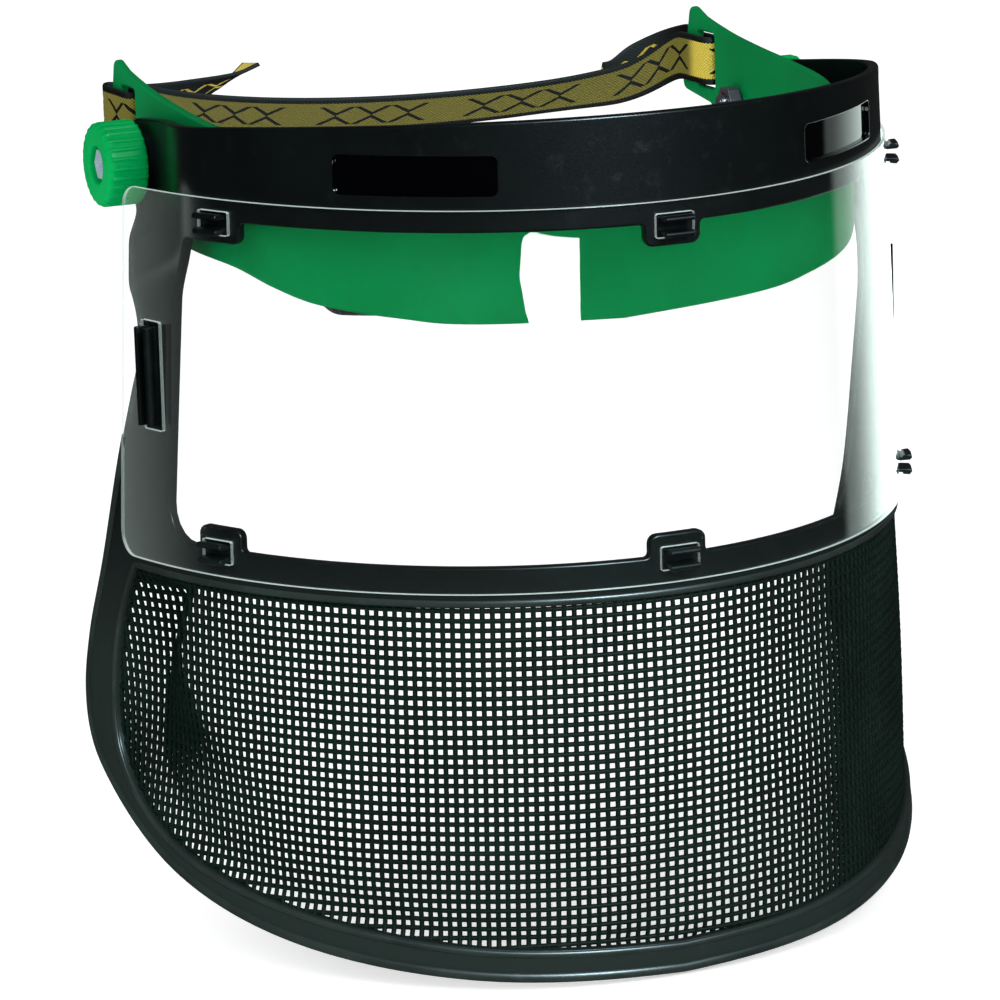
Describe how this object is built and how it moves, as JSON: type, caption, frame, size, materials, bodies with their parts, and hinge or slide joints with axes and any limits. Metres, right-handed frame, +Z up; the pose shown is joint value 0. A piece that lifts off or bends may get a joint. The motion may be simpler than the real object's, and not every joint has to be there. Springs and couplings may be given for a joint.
{
  "type": "face shield",
  "caption": "Tilting face shield: curved visor frame with a clear window lens above a wire mesh, hung by screw knobs on a headband with a sweat pad and an elastic head strap.",
  "frame": {"origin": "bottom centre of the whole shield's box; the tilt axis passes 0.0176 m behind it and 0.21103 m above it", "axes": "+X towards the wearer's left, parallel to the tilt axis; -Y forwards, the way the wearer looks; +Z up towards the top of the head"},
  "size_m": [0.2362, 0.2508, 0.2352],
  "materials": {
    "frame_plastic": "satin black moulding",
    "mesh": "black-green coated wire",
    "clear_plastic": "clear polished sheet",
    "headband_plastic": "green moulding",
    "pad": "soft foam faced with knitted cloth",
    "webbing": "woven elastic, olive gold and black",
    "knob_plastic": "green moulding",
    "zinc": "zinc plated",
    "washer": "black nylon"
  },
  "bodies": {
    "headband": {"headband": "headband_plastic", "sweatband": "pad", "elastic_strap": "webbing", "pivot_nut_left": "zinc", "pivot_nut_right": "zinc", "friction_washer_left": "washer", "friction_washer_right": "washer"},
    "visor": {"visor_frame": "frame_plastic", "mesh_panel": "mesh", "clear_lens": "clear_plastic"},
    "knob_left": {"knob_left": "knob_plastic", "pivot_bolt_left": "zinc", "outer_washer_left": "washer"},
    "knob_right": {"knob_right": "knob_plastic", "pivot_bolt_right": "zinc", "outer_washer_right": "washer"}
  },
  "joints": [
    {"name": "visor_tilt", "type": "hinge", "parent": "headband", "child": "visor", "pos_m": [0, 0.0176, 0.21103], "axis": [-1, 0, 0], "range_deg": [-10, 90]},
    {"name": "knob_left_turn", "type": "hinge", "parent": "headband", "child": "knob_left", "pos_m": [0.1, 0.0176, 0.21103], "axis": [1, 0, 0], "range_deg": [0, 360]},
    {"name": "knob_right_turn", "type": "hinge", "parent": "headband", "child": "knob_right", "pos_m": [-0.1, 0.0176, 0.21103], "axis": [-1, 0, 0], "range_deg": [0, 360]}
  ]
}
